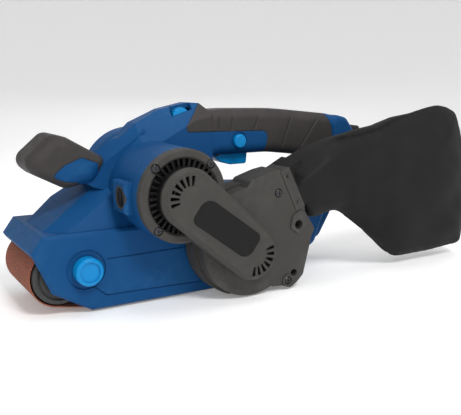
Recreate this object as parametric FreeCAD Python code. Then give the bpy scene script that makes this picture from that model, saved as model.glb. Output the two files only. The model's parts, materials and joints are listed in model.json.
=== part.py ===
"""Handheld belt sander, as separate solids in one frame, in millimetres.

+X points to the rear (handle and dust bag), -Y to the drive side, +Z up.
The origin is the middle of the sanding face, on the outside of the sanding belt.
"""
import FreeCAD, Part
import math
import os

V = FreeCAD.Vector

# ---------------------------------------------------------------- driving dimensions
BELT_WIDTH = 75.0
BELT_THICK = 1.0
BELT_GAP = 0.3                      # belt to the rollers and pad it runs on
FRONT_X, FRONT_Z, FRONT_R = -88.0, 31.4, 23.6
DRIVE_X, DRIVE_Z, DRIVE_R = 64.0, 42.5, 21.5
PLATEN_FRONT, PLATEN_REAR, PLATEN_EDGE_R = -56.0, 38.0, 4.0
CROWN = 1.0                         # how much smaller the front roller's ends are

MOTOR_X, MOTOR_Z = 2.5, 95.5
STATOR_R, ARMATURE_R, SHAFT_R = 25.0, 15.6, 4.0
DRIVE_SHAFT_R = 5.0
BEARING_R, BEARING_W = 11.0, 7.0
NEAR_BEARING_Y, FAR_BEARING_Y = -70.5, 46.5
CORE_NEAR_Y, CORE_FAR_Y = -33.0, 9.0                                    # motor iron

WALL = 2.6                          # plastic shell
SIDE_Y = 46.0                       # half width of the lower housing
BELT_ROOM = 4.0                     # free space round the sanding belt
SKIRT_INNER_Y = -43.4
SIDE_BEVEL = 2.2                    # slanted border of the housing's drive side
DRUM_NEAR_Y, DRUM_FAR_Y = -73.0, 58.0
DRUM_NEAR_R, DRUM_FAR_R = 38.6, 47.0
DRUM_FAR_X, DRUM_FAR_Z = 9.0, 96.5

RING_FRONT_Y, RING_R, RING_BORE = -80.0, 38.6, 30.6
VENT_FLOOR_Y, HUB_FRONT_Y = -75.0, -86.0
RING_SCREW_R = 34.6
VOLUTE_BACK_Y, VOLUTE_STEP_Y, VOLUTE_PLATE_Y, VOLUTE_FRONT_Y = -48.4, -64.0, -73.4, -76.0
CASING_X, CASING_Z, CASING_R, CASING_BACK_R = 70.0, 49.4, 48.0, 50.4    # round part of the dust fan's housing
COVER_BACK_Y, COVER_FACE_Y = -76.0, -92.0
COVER_MOTOR_R, COVER_DRIVE_R = 24.5, 23.0
PULLEY_BACK_Y, PULLEY_FRONT_Y = -81.4, -88.4
MOTOR_PULLEY_R, DRIVEN_PULLEY_R = 8.2, 16.4
OUTLET_ANGLE = 27.3                 # degrees the dust outlet climbs to the rear
OUTLET_X, OUTLET_Z, OUTLET_HALF = 117.2, 94.5, 20.1
ADAPTOR_LENGTH = 10.0
DUCT_HALF = OUTLET_HALF - WALL
BOSS_HOLES = [(119.8, 59.6, 4.2), (116.5, 14.9, 3.4)]
VOLUTE_SCREWS = [(97.5, 90.1), (109.6, 8.7)]
BAG_NEAR_Y, BAG_FAR_Y = -84.0, -38.0

HANDLE_HALF = 17.5
GRIP_THICK = 2.0
KNOB_HALF = 24.0
TRACK_X, TRACK_Z, TRACK_R = -68.8, 36.8, 11.4                           # belt tracking knob
BRUSH_Y, BRUSH_Z, CAP_R = -52.0, 94.3, 8.0                              # carbon brushes and their screwed caps
FRONT_CAP_X, REAR_CAP_X = -41.5, 41.0
YOKE_Z = 31.4
ARM_NEAR_Y, ARM_FAR_Y, ARM_THICK = -42.4, 38.5, 2.4
STEER_X = -59.5
LEVER_X, LEVER_Z = -14.0, 24.0
TRIGGER_FRONT, TRIGGER_REAR = 72.0, 109.5
TRIGGER_PIVOT_X, TRIGGER_PIVOT_Z = 75.0, 118.5
LOCK_X, LOCK_Z, LOCK_R = 92.6, 131.3, 6.4
DIAL_X, DIAL_Z, DIAL_R = 35.2, 154.6, 8.4
DIAL_NEAR_Y, DIAL_FAR_Y = -12.0, -5.4
GLAND_X, GLAND_Z, GLAND_R = 238.0, 135.0, 7.0
PIN_SLACK = 0.06                    # a turning part's bore over its pin
BIG = 400.0


# ---------------------------------------------------------------- small helpers
def block(x0, x1, y0, y1, z0, z1):
    return Part.makeBox(x1 - x0, y1 - y0, z1 - z0, V(x0, y0, z0))


def rod(x, z, radius, y0, y1):
    """Round bar along Y."""
    return Part.makeCylinder(radius, y1 - y0, V(x, y0, z), V(0, 1, 0))


def tube(x, z, outer, inner, y0, y1):
    return rod(x, z, outer, y0, y1).cut(rod(x, z, inner, y0 - 1, y1 + 1))


def cone(x, z, radius0, radius1, y0, y1):
    return Part.makeCone(radius0, radius1, y1 - y0, V(x, y0, z), V(0, 1, 0))


def joined(*solids):
    return solids[0].multiFuse(list(solids[1:])).removeSplitter()


def without(solid, *tools):
    for tool in tools:
        solid = solid.cut(tool)
    return solid


def group(solids):
    return Part.makeCompound(solids)


def prism(outline, y0, y1):
    """Solid with a straight-edged outline in X and Z, from y0 to y1."""
    points = [V(x, y0, z) for x, z in outline]
    wire = Part.makePolygon(points + points[:1])
    return Part.Face(wire).extrude(V(0, y1 - y0, 0))


def rounded_wire(outline, radius, y):
    """Closed outline in X and Z whose corners are arcs; radius is one value or one per corner."""
    count = len(outline)
    radii = radius if isinstance(radius, (list, tuple)) else [radius] * count
    corners = [V(x, y, z) for x, z in outline]
    starts, middles, ends = [], [], []
    for i, corner in enumerate(corners):
        back = (corners[i - 1] - corner).normalize()
        ahead = (corners[(i + 1) % count] - corner).normalize()
        half = back.getAngle(ahead) / 2
        reach = radii[i] / math.tan(half)
        inward = (back + ahead).normalize()
        starts.append(corner + back * reach)
        ends.append(corner + ahead * reach)
        middles.append(corner + inward * (radii[i] / math.sin(half) - radii[i]))
    edges = []
    for i in range(count):
        if radii[i] > 0:
            edges.append(Part.Arc(starts[i], middles[i], ends[i]).toShape())
        following = starts[(i + 1) % count]
        if ends[i].distanceToPoint(following) > 1e-4:
            edges.append(Part.LineSegment(ends[i], following).toShape())
    return Part.Wire(edges)


def rounded_prism(outline, radius, y0, y1):
    return Part.Face(rounded_wire(outline, radius, y0)).extrude(V(0, y1 - y0, 0))


def edges_at(shape, axis, level):
    """Edges that lie whole in the plane where the axis has that level."""
    found = []
    for edge in shape.Edges:
        box = edge.BoundBox
        low = {"x": box.XMin, "y": box.YMin, "z": box.ZMin}[axis]
        high = {"x": box.XMax, "y": box.YMax, "z": box.ZMax}[axis]
        if abs(low - level) < 1e-3 and abs(high - level) < 1e-3:
            found.append(edge)
    return found


def softened(shape, radius, axis, *levels):
    """Round the edges that lie in the given planes."""
    edges = [edge for level in levels for edge in edges_at(shape, axis, level)]
    return shape.makeFillet(radius, edges)


def bevelled(shape, size, axis, *levels):
    edges = [edge for level in levels for edge in edges_at(shape, axis, level)]
    return shape.makeChamfer(size, edges)


def trimmed(shape, point, outward):
    """Cut away what lies beyond the plane through the point, on the side it faces."""
    tool = Part.makeBox(2 * BIG, 2 * BIG, BIG, V(-BIG, -BIG, 0))
    tool.Placement = FreeCAD.Placement(point, FreeCAD.Rotation(V(0, 0, 1), outward))
    return shape.cut(tool)


def crosswise(x0, x1, radius):
    """Round bar along X, in line with the carbon brushes."""
    return Part.makeCylinder(radius, x1 - x0, V(x0, BRUSH_Y, BRUSH_Z), V(1, 0, 0))


def around(x, z, angle, reach):
    """Point at a reach and an angle in degrees from a centre, in X and Z."""
    turn = math.radians(angle)
    return x + reach * math.cos(turn), z + reach * math.sin(turn)


def loop_wire(circles, grow, y):
    """Tight loop round circles (x, z, radius), each made larger by grow.

    The circles are listed counter-clockwise as seen with X right and Z up.
    Returns the wire and its length.
    """
    count = len(circles)
    normals = []
    for i in range(count):
        x0, z0, r0 = circles[i]
        x1, z1, r1 = circles[(i + 1) % count]
        gap = math.hypot(x1 - x0, z1 - z0)
        along = math.atan2(z1 - z0, x1 - x0)
        normals.append(along - math.acos((r0 - r1) / gap))
    edges, length = [], 0.0
    for i, (x, z, radius) in enumerate(circles):
        size = radius + grow
        start, end = normals[i - 1], normals[i]
        while end < start:
            end += 2 * math.pi
        turns = (start, (start + end) / 2, end)
        spots = [V(x + size * math.cos(turn), y, z + size * math.sin(turn)) for turn in turns]
        edges.append(Part.Arc(*spots).toShape())
        x1, z1, r1 = circles[(i + 1) % count]
        size1 = r1 + grow
        landing = V(x1 + size1 * math.cos(normals[i]), y, z1 + size1 * math.sin(normals[i]))
        edges.append(Part.LineSegment(spots[2], landing).toShape())
        length += size * (end - start) + spots[2].distanceToPoint(landing)
    return Part.Wire(edges), length


def loop_solid(circles, grow, y0, y1):
    return Part.Face(loop_wire(circles, grow, y0)[0]).extrude(V(0, y1 - y0, 0))


SANDING_LOOP = [
    (DRIVE_X, DRIVE_Z, DRIVE_R + BELT_GAP),
    (FRONT_X, FRONT_Z, FRONT_R + BELT_GAP),
    (PLATEN_FRONT + PLATEN_EDGE_R, BELT_THICK + PLATEN_EDGE_R, PLATEN_EDGE_R),
    (PLATEN_REAR - PLATEN_EDGE_R, BELT_THICK + PLATEN_EDGE_R, PLATEN_EDGE_R),
]


# ---------------------------------------------------------------- outer masses of the housing
def deck(inset):
    """Wide flat part over the sanding belt, with the nose at its front."""
    outline = [(-112 + inset, 54.3), (-102.5 + inset / 2, 67.5 - inset), (-90, 67.5 - inset),
               (106 - inset, 66 - inset), (106 - inset, 40), (-104, 40)]
    solid = prism(outline, -SIDE_Y + inset, SIDE_Y - inset)
    return solid if inset else bevelled(solid, SIDE_BEVEL, "y", -SIDE_Y)


def hood(inset):
    """Faceted wedge that climbs from the nose to the motor, with its wide facet on the drive side."""
    faces = [
        ((-100, 0, 66.5), (-31, 0, 52)),
        ((-99.6, -29.6, 66.7), (-308, -505, 841)),
        ((-82.7, -40.4, 66.4), (0, -289, 178)),
        ((0, 41, 66), (0, 36, 5)),
        ((-76, 34.6, 80.8), (-69, 74, 28)),
        ((0, 0, 116), (0, 0, 1)),
        ((52, 0, 0), (1, 0, 0)),
    ]
    body = block(-BIG / 2, BIG / 2, -BIG / 2, BIG / 2, 64, BIG / 2)
    for point, outward in faces:
        normal = V(*outward).normalize()
        body = trimmed(body, V(*point) - normal * inset, normal)
    return body.cut(block(12 - inset, BIG, -BIG, inset - 47.5, 60, BIG))


def motor_drum(inset):
    """Round motor housing across the machine, with a wider bell at the far end."""
    barrel = cone(MOTOR_X, MOTOR_Z, DRUM_NEAR_R - inset, DRUM_NEAR_R + 2 - inset, DRUM_NEAR_Y + inset, 30)
    flare = cone(DRUM_FAR_X, DRUM_FAR_Z, 38 - inset, DRUM_FAR_R - inset, -14, 30)
    bell = softened(rod(DRUM_FAR_X, DRUM_FAR_Z, DRUM_FAR_R - inset, 30, DRUM_FAR_Y - inset), 12 - inset, "y",
                    DRUM_FAR_Y - inset)
    return joined(barrel, flare, bell)


def spine(inset):
    """Ridge from the front knob's neck over the motor to the main handle, with long side facets."""
    outline = [(-34 + inset, 92), (-34 + inset, 124), (-20, 139.5 - inset), (-8, 150 - inset), (17, 161.5 - inset),
               (44, 167 - inset), (55 - inset / 2, 166.5 - inset), (64 - inset, 158 - inset), (64 - inset, 92)]
    wide, narrow = 25 - inset, 18 - inset
    plan = [(-34, -wide), (12, -wide), (64, -narrow), (64, narrow), (12, wide), (-34, wide)]
    corners = [V(x, y, 90) for x, y in plan]
    column = Part.Face(Part.makePolygon(corners + corners[:1])).extrude(V(0, 0, 80))
    body = prism(outline, -wide, wide).common(column)
    for side in (-1, 1):
        for x, z, run, climb in ((-34, 124, 26, 26), (-8, 150, 54, 17), (50, 166.7, 1, 0)):
            normal = V(-climb, side * 1.25 * run, run).normalize()
            body = trimmed(body, V(x, side * 8.5, z) - normal * inset, normal)
    return body


def handle_bar(inset):
    """Upper bar of the main handle, a gently arched bar with rounded long edges."""
    outline = [(44, 159 - inset), (80, 161.2 - inset), (140, 160.4 - inset), (205, 154.2 - inset),
               (218, 150 - inset), (218, 104), (180, 112.6 + inset), (130, 118.6 + inset), (70, 118.5 + inset),
               (44, 108 + inset)]
    bar = rounded_prism(outline, [0, 200, 300, 60, 0, 0, 60, 120, 30, 0], -HANDLE_HALF + inset, HANDLE_HALF - inset)
    return softened(bar, 10 - inset, "y", -HANDLE_HALF + inset, HANDLE_HALF - inset)


def handle_column(inset):
    """Rear of the closed handle, from its cap down to the rear body."""
    outline = [(200, 148 - inset), (214, 153 - inset), (227 - inset, 150), (240 - inset, 134),
               (227 - inset, 95), (209 - inset, 50), (195 - inset, 27 + inset), (170, 20 + inset),
               (170, 60), (186 + inset, 92), (194 + inset, 106), (200 + inset, 120)]
    column = rounded_prism(outline, [0, 9, 9, 9, 20, 20, 9, 0, 0, 14, 10, 10],
                           -HANDLE_HALF + 1 + inset, HANDLE_HALF - 1 - inset)
    return softened(column, 6 - inset, "y", -HANDLE_HALF + 1 + inset, HANDLE_HALF - 1 - inset)


def rear_body(inset):
    """Low body behind the drive roller that carries the handle's rear."""
    outline = [(60, 40), (97 + inset, 14 + inset), (150, 15 + inset), (178 - inset, 24 + inset),
               (190 - inset, 56), (186 - inset, 84 - inset), (60, 91 - inset)]
    body = rounded_prism(outline, [0, 9, 20, 12, 12, 12, 0], -31 + inset, 31 - inset)
    return softened(body, 7 - inset, "y", -31 + inset, 31 - inset)


def knob_neck(inset):
    """Arm that carries the front knob, with a roof-shaped top."""
    outline = [(-66, 108 + inset), (-50, 98 + inset), (-20, 90), (4, 110), (-4, 150 - inset),
               (-20, 139 - inset), (-36, 131 - inset), (-52, 126 - inset)]
    neck = rounded_prism(outline, [0, 8, 0, 0, 0, 12, 12, 0], -17 + inset, 17 - inset)
    for side in (-1, 1):
        normal = V(-357, side * 259, 530).normalize()
        neck = trimmed(neck, V(-33, side * 17, 123.7) - normal * inset, normal)
    return neck


def knob_body(inset):
    """Front knob, a rounded paddle that leans forward and up."""
    outline = [(-110 + inset, 121.5), (-84, 144 - inset), (-72, 141 - inset), (-38 - inset / 3, 121.5),
               (-50, 103 + inset / 2), (-74, 98.5 + inset), (-98, 111 + inset)]
    knob = rounded_prism(outline, [9, 9, 10, 5, 6, 12, 12], -KNOB_HALF + inset, KNOB_HALF - inset)
    return softened(knob, 11 - 1.4 * inset, "y", -KNOB_HALF + inset, KNOB_HALF - inset)


def knob_cavity():
    """Hollow inside the front knob's core."""
    outline = [(-98, 121), (-82, 135), (-50, 120), (-56, 110), (-76, 106)]
    return rounded_prism(outline, 4, -17, 17)


def belt_zone(room, y0, y1):
    """Space round the sanding belt, grown by room."""
    return loop_solid(SANDING_LOOP, BELT_THICK + room, y0, y1)


def skirt():
    """Plate that covers the drive side of the sanding belt."""
    outline = [(-64, 1.6), (-71, 5.4), (-96.8, 20.4), (-112, 54.3), (-102.5, 67.5), (-90, 67.5), (106, 66),
               (106, 12), (96, 1.6)]
    return bevelled(prism(outline, -SIDE_Y, SKIRT_INNER_Y), SIDE_BEVEL, "y", -SIDE_Y)


def skirt_lines():
    """Two mould lines along the drive side, and the round recess of the tracking knob."""
    lines = [[(-51, 44), (-51, 43), (60, 45.2), (60, 46.2)],
             [(-65, 24.5), (-52, 13.5), (60, 11.4), (60, 10.4), (-52.3, 12.5), (-65.7, 23.7)]]
    return [*[prism(line, -SIDE_Y - 1, -SIDE_Y + 0.8) for line in lines],
            rod(TRACK_X, TRACK_Z, TRACK_R + 4.9, -SIDE_Y - 1, -SIDE_Y + 1.1)]


def brush_boss():
    """Block beside the hood that the front brush cap is screwed into."""
    boss = block(FRONT_CAP_X, -22, BRUSH_Y - 10, BRUSH_Y + 16, BRUSH_Z - 13, BRUSH_Z + 13)
    return softened(boss, 3, "x", FRONT_CAP_X)


def grip_zone():
    """Side view of the region that the main handle's soft grip covers."""
    outline = [(30, 141.2), (60, 173), (197, 173), (197, 156), (204.5, 141), (206, 131), (198, 90),
               (118, 90), (126, 139.8)]
    return rounded_prism(outline, [4, 0, 0, 0, 20, 0, 0, 0, 6], -30, 30)


def grip_skin():
    """Soft skin over the top and rear of the main handle, before its grooves."""
    skin = joined(handle_bar(0), spine(0)).common(grip_zone())
    return without(skin, handle_bar(GRIP_THICK), spine(GRIP_THICK), motor_drum(0), handle_column(0))


def handle_grip():
    """The skin with five slanting grooves on each side."""
    width, depth = 1.8, 1.1
    tools = []
    for top_x, low_x in ((72, 70), (88, 83), (119, 109), (158, 141), (198, 164)):
        low_z = 122 if low_x > 131 else 141
        outline = [(top_x, 168), (top_x + width, 168), (low_x + width, low_z), (low_x, low_z)]
        for side in (-1, 1):
            tools.append(prism(outline, side * (HANDLE_HALF - depth), side * (HANDLE_HALF + 2)))
    return without(grip_skin(), *tools)


def knob_tongue():
    """Side view of the bare tongue that the front knob's soft grip leaves open."""
    outline = [(-87, 110), (-76, 119), (-62, 124.5), (-48, 119), (-44, 100), (-58, 92), (-64, 104), (-76, 105.5)]
    return rounded_prism(outline, [3, 6, 6, 3, 0, 0, 3, 6], -40, 40)


def front_grip():
    """Soft skin over the front knob, open at both sides for the core's tongue."""
    skin = without(knob_body(0), knob_body(GRIP_THICK), knob_tongue(), knob_neck(0))
    return max(skin.Solids, key=lambda solid: solid.Volume)


# ---------------------------------------------------------------- openings in the housing
def vent_slots():
    """Cooling slots in the motor housing's far end."""
    slots = []
    for level in range(-21, 22, 7):
        half = math.sqrt(32 ** 2 - level ** 2)
        z = DRUM_FAR_Z + level
        for side in (-1, 1):
            inner, outer = MOTOR_X + side * 17, DRUM_FAR_X + side * half
            slots.append(block(min(inner, outer), max(inner, outer), 50, 62, z - 1.8, z + 1.8))
    return slots


def housing():
    """The whole plastic housing as one hollow body, before it is split into halves."""
    masses = (deck, hood, motor_drum, spine, handle_bar, handle_column, rear_body, knob_neck, knob_body)
    outside = joined(*[mass(0) for mass in masses], brush_boss())
    inside = joined(*[mass(WALL) for mass in (deck, hood, motor_drum, handle_column, rear_body, knob_neck)],
                    *[mass(GRIP_THICK + WALL) for mass in (spine, handle_bar)], knob_cavity())
    inside = inside.cut(belt_zone(BELT_ROOM + WALL, -SIDE_Y, 90))
    shell = without(outside, inside, belt_zone(BELT_ROOM, SKIRT_INNER_Y, 90))
    below = block(-130, 130, SKIRT_INNER_Y, 90, -10, 50.5).cut(block(93, 130, -32, 32, -10, 51))
    shell = without(shell, below)
    seat = tube(MOTOR_X, MOTOR_Z, BEARING_R + 3, BEARING_R, FAR_BEARING_Y, DRUM_FAR_Y - 1)
    shell = joined(shell, skirt(), seat)
    tools = [
        *skirt_lines(),
        rod(MOTOR_X, MOTOR_Z, RING_BORE + 2, DRUM_NEAR_Y - 1, DRUM_NEAR_Y + WALL + 0.5),
        rod(TRACK_X, TRACK_Z, 4.2, -SIDE_Y - 1, SKIRT_INNER_Y + 1),
        rod(DRIVE_X, DRIVE_Z, 20, -SIDE_Y - 1, SKIRT_INNER_Y + 1),
        crosswise(FRONT_CAP_X - 1, -20, CAP_R + 1.7),
        crosswise(25, 50, CAP_R + 1.7),
        rod(LOCK_X, LOCK_Z, LOCK_R + 0.3, -HANDLE_HALF - 3, -HANDLE_HALF + 6),
        rod(LOCK_X, LOCK_Z, LOCK_R + 2.2, -HANDLE_HALF - 3, -HANDLE_HALF + 0.7),
        trigger_pin(),
        dial_pin(),
        *[rod(x, z, 1.65, DRUM_NEAR_Y - 1, DRUM_NEAR_Y + 8) for x, z in RING_SCREWS],
        block(TRIGGER_FRONT - 1, TRIGGER_REAR + 2, -7.6, 7.6, 100, 124),
        block(DIAL_X - 10, DIAL_X + 10, DIAL_NEAR_Y - 0.8, DIAL_FAR_Y + 0.8, DIAL_Z - 10.5, 180),
        Part.makeCylinder(GLAND_R, 30, V(GLAND_X - 12, 0, GLAND_Z), V(1, 0, 0)),
        grip_skin(),
        front_grip(),
    ]
    return without(shell, *tools)


# ---------------------------------------------------------------- frame and sole
def base_frame():
    """Cast frame: side plate, hollow beam inside the belt loop and two drive shaft seats."""
    plate = rounded_prism([(-50, 6), (-50, 56), (30, 61), (84, 61), (88, 24), (40, 4.4)],
                          [3, 3, 3, 10, 10, 3], -42.6, -39.8)
    beam = block(-46, 31, -40.5, 34, 4.2, 41).cut(block(-50, 32, -38, 35, 8.2, 37.5))
    rib = block(26, 31, -40.5, 34, 4.2, 41)
    far_arm = rounded_prism([(20, 8), (20, 41), (70, 55), (79, 42), (70, 30), (34, 8)], 4, 35.2, 39.2)
    far_web = block(20, 31, 33, 36, 8, 41)
    near_seat = rod(DRIVE_X, DRIVE_Z, BEARING_R + 3, -47.8, -40.5)
    far_seat = rod(DRIVE_X, DRIVE_Z, BEARING_R + 2.5, 35.2, 43)
    body = joined(plate, beam, rib, far_arm, far_web, near_seat, far_seat)
    tools = [
        rod(DRIVE_X, DRIVE_Z, BEARING_R, -47.8, -40.8),
        rod(DRIVE_X, DRIVE_Z, DRIVE_SHAFT_R + 1.5, -50, -39),
        rod(DRIVE_X, DRIVE_Z, BEARING_R, 35.0, 42),
        Part.makeCylinder(3.2, 8, V(25, 0, YOKE_Z), V(1, 0, 0)),
        rod(LEVER_X, LEVER_Z, 2.5, 33, 40),
    ]
    return without(body, *tools)


def sole_plate():
    """Steel sole with turned-up front and rear edges."""
    half = BELT_WIDTH / 2 - 1
    outline = [(PLATEN_FRONT + 2, 5.6), (PLATEN_FRONT + 5, 2.6), (PLATEN_REAR - 5, 2.6), (PLATEN_REAR - 2, 5.6),
               (PLATEN_REAR - 3, 6.6), (PLATEN_REAR - 5.8, 4.2), (PLATEN_FRONT + 5.8, 4.2), (PLATEN_FRONT + 3, 6.6)]
    return prism(outline, -half, half)


def platen_pad():
    """Graphite pad glued under the sole."""
    half = BELT_WIDTH / 2 - 1
    return block(PLATEN_FRONT + 5, PLATEN_REAR - 5, -half, half, BELT_THICK + BELT_GAP, 2.6)


def sanding_belt():
    half = BELT_WIDTH / 2
    return loop_solid(SANDING_LOOP, BELT_THICK, -half, half).cut(loop_solid(SANDING_LOOP, 0, -half - 1, half + 1))


# ---------------------------------------------------------------- front roller, steering and tension

def front_roller():
    """Crowned roller with a groove near its drive-side end and a bore for two bushes."""
    points = [V(0, -39, 0), V(FRONT_R - 3.2, -39, 0), V(FRONT_R - 1.4, -38.2, 0), V(FRONT_R - CROWN, -36.8, 0)]
    tail = [V(FRONT_R - CROWN, 36, 0), V(FRONT_R - CROWN - 1, 37, 0), V(0, 37, 0)]
    edges = [Part.LineSegment(a, b).toShape() for a, b in zip(points, points[1:])]
    edges.append(Part.Arc(points[-1], V(FRONT_R, 0, 0), tail[0]).toShape())
    edges += [Part.LineSegment(a, b).toShape() for a, b in zip(tail, tail[1:] + points[:1])]
    profile = Part.Face(Part.Wire(edges))
    roller = profile.revolve(V(0, 0, 0), V(0, 1, 0), 360)
    roller.translate(V(FRONT_X, 0, FRONT_Z))
    groove = tube(FRONT_X, FRONT_Z, FRONT_R - 5.0, FRONT_R - 7.0, -40, -37.5)
    dish = rod(FRONT_X, FRONT_Z, 11, -40, -38)
    return without(roller, groove, dish, rod(FRONT_X, FRONT_Z, 6.5, -45, 45))


def roller_bushes():
    return group([tube(FRONT_X, FRONT_Z, 6.5, 4.06, y, y + 12) for y in (-37, 23)])


def steer_fork():
    """Fork with the front axle, which the tracking knob swings a little."""
    bar = block(-62.6, -57.2, ARM_NEAR_Y, ARM_FAR_Y + ARM_THICK, 26.4, 36.4)
    arms = []
    for y in (ARM_NEAR_Y, ARM_FAR_Y):
        arms.append(block(FRONT_X, -57.2, y, y + ARM_THICK, 26.4, 36.4))
        arms.append(rod(FRONT_X, FRONT_Z, 5, y, y + ARM_THICK))
    axle = rod(FRONT_X, FRONT_Z, 4, ARM_NEAR_Y, ARM_FAR_Y + ARM_THICK)
    fork = joined(bar, axle, *arms)
    return fork.cut(Part.makeCylinder(2.56, 20, V(STEER_X, 0, 22)))


def roller_yoke():
    """Slide with the steering pin, which the tension lever pulls back."""
    plate = block(-56.0, -53.0, -16, 16, 24, 38)
    stem = block(-56.0, -18, -9, 9, 26, 36.8)
    lugs = [block(STEER_X - 4, -53.0, -6, 6, z, z + 2) for z in (24.0, 36.8)]
    pin = Part.makeCylinder(2.5, 14.8, V(STEER_X, 0, 24))
    return joined(plate, stem, pin, *lugs)


def tension_spring():
    """Coil spring behind the yoke's stem."""
    coil = Part.makeHelix(5, 25, 4.8)
    start = V(4.8, 0, 0)
    wire = Part.Wire(coil.Edges)
    section = Part.Wire(Part.makeCircle(0.9, start, V(0, 1, 0)))
    spring = wire.makePipeShell([section], True, True)
    spring.Placement = FreeCAD.Placement(V(-5.0, 0, YOKE_Z), FreeCAD.Rotation(V(0, 1, 0), 90))
    return spring


def tension_lever():
    """Belt release lever on the open side, inside the belt loop."""
    tip_x, tip_z = around(LEVER_X, LEVER_Z, 195, 29)
    hub = rod(LEVER_X, LEVER_Z, 6.5, 40.0, 44.0)
    arm = loop_solid([(tip_x, tip_z, 4.6), (LEVER_X, LEVER_Z, 5.6)], 0, 40.4, 44.0)
    tab = loop_solid([(tip_x, tip_z, 4.6), (tip_x + 7, tip_z + 2, 4.6)], 0, 43.5, 48.5)
    return joined(hub, arm, tab).cut(rod(LEVER_X, LEVER_Z, 2.56, 39, 45))


def lever_pin():
    shaft = rod(LEVER_X, LEVER_Z, 2.5, 33, 44.4)
    return joined(shaft, rod(LEVER_X, LEVER_Z, 4, 44.4, 45.8))


def tracking_knob():
    """Round knob with a dished face."""
    knob = bevelled(rod(TRACK_X, TRACK_Z, TRACK_R, -56, -46.2), 1.4, "y", -56)
    dish = rod(TRACK_X, TRACK_Z, TRACK_R - 3, -57, -54.2)
    return without(knob, dish, rod(TRACK_X, TRACK_Z, 3, -50, -45))


def tracking_screw():
    return rod(TRACK_X, TRACK_Z, 3, -50, -42.9)


# ---------------------------------------------------------------- drive roller
def drive_shaft():
    """Shaft with the collar that the drive-side bearing sits against."""
    return joined(rod(DRIVE_X, DRIVE_Z, DRIVE_SHAFT_R, -89, 42), rod(DRIVE_X, DRIVE_Z, 7, -39.4, -37))


def roller_core():
    return tube(DRIVE_X, DRIVE_Z, DRIVE_R - 4, DRIVE_SHAFT_R, -36.8, 34.6)


def roller_tyre():
    """Rubber sleeve with ring grooves."""
    sleeve = tube(DRIVE_X, DRIVE_Z, DRIVE_R, DRIVE_R - 4, -36.8, 34.6)
    grooves = [tube(DRIVE_X, DRIVE_Z, DRIVE_R + 1, DRIVE_R - 0.9, y, y + 1.6) for y in range(-32, 33, 8)]
    return without(sleeve, *grooves)


def toothed_wheel(x, z, radius, bore, teeth, y0, y1):
    notches = [rod(*around(x, z, i * 360 / teeth, radius + 0.3), 0.9, y0 - 1, y1 + 1) for i in range(teeth)]
    return without(rod(x, z, radius, y0, y1), rod(x, z, bore, y0 - 1, y1 + 1), *notches)


def driven_pulley():
    wheel = toothed_wheel(DRIVE_X, DRIVE_Z, DRIVEN_PULLEY_R, DRIVE_SHAFT_R, 36, PULLEY_FRONT_Y, PULLEY_BACK_Y)
    holes = [rod(*around(DRIVE_X, DRIVE_Z, angle, 10.5), 2.6, -90, -78) for angle in range(0, 360, 60)]
    return without(wheel, *holes)


def fan_wheel(x, z, hub, radius, bore, blades, disc, y0, y1):
    """Radial fan: a disc with straight blades standing on it."""
    parts = [tube(x, z, hub, bore, y0, y1), tube(x, z, radius, bore, disc[0], disc[1])]
    for i in range(blades):
        blade = block(hub - 1, radius - 0.3, y0, y1, -0.8, 0.8)
        blade.rotate(V(0, 0, 0), V(0, 1, 0), i * 360 / blades)
        blade.translate(V(x, 0, z))
        parts.append(blade)
    return joined(*parts)


def dust_fan():
    return fan_wheel(DRIVE_X, DRIVE_Z, 9, 33, DRIVE_SHAFT_R, 9, (-71.6, -69.6), -71.6, -54)


# ---------------------------------------------------------------- motor
def motor_shaft():
    return rod(MOTOR_X, MOTOR_Z, SHAFT_R, -89, FAR_BEARING_Y + BEARING_W)


def armature_core():
    core = tube(MOTOR_X, MOTOR_Z, ARMATURE_R, SHAFT_R, CORE_NEAR_Y, CORE_FAR_Y)
    slots = [rod(*around(MOTOR_X, MOTOR_Z, i * 30, ARMATURE_R - 0.8), 1.5, CORE_NEAR_Y - 1, CORE_FAR_Y + 1)
             for i in range(12)]
    return without(core, *slots)


def armature_windings():
    ends = ((CORE_NEAR_Y - 9, CORE_NEAR_Y), (CORE_FAR_Y, CORE_FAR_Y + 7))
    return group([tube(MOTOR_X, MOTOR_Z, 13.4, SHAFT_R, y0, y1) for y0, y1 in ends])


def commutator():
    """Copper drum with a cut between each pair of its bars."""
    near, far, bars = BRUSH_Y - 7, BRUSH_Y + 7, 24
    slots = []
    for i in range(bars):
        slot = block(9.2, 11, near - 1, far + 1, -0.25, 0.25)
        slot.rotate(V(0, 0, 0), V(0, 1, 0), i * 360 / bars)
        slot.translate(V(MOTOR_X, 0, MOTOR_Z))
        slots.append(slot)
    return without(tube(MOTOR_X, MOTOR_Z, 10, SHAFT_R, near, far), *slots)


def motor_fan():
    return fan_wheel(MOTOR_X, MOTOR_Z, 8, 27, SHAFT_R, 11, (24, 26), 24, 37)


def motor_pulley():
    return toothed_wheel(MOTOR_X, MOTOR_Z, MOTOR_PULLEY_R, SHAFT_R, 18, PULLEY_FRONT_Y, PULLEY_BACK_Y)


def motor_stator():
    """Laminated stator with two poles round the armature."""
    ring = tube(MOTOR_X, MOTOR_Z, STATOR_R, ARMATURE_R + 0.7, CORE_NEAR_Y, CORE_FAR_Y)
    notches = [rod(*around(MOTOR_X, MOTOR_Z, angle, 17.5), 4, CORE_NEAR_Y - 1, CORE_FAR_Y + 1)
               for angle in (0, 180)]
    return without(ring, *notches)


def field_coils():
    ends = ((CORE_NEAR_Y - 8, CORE_NEAR_Y), (CORE_FAR_Y, CORE_FAR_Y + 7))
    return group([tube(MOTOR_X, MOTOR_Z, 23, 17, y0, y1) for y0, y1 in ends])


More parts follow.
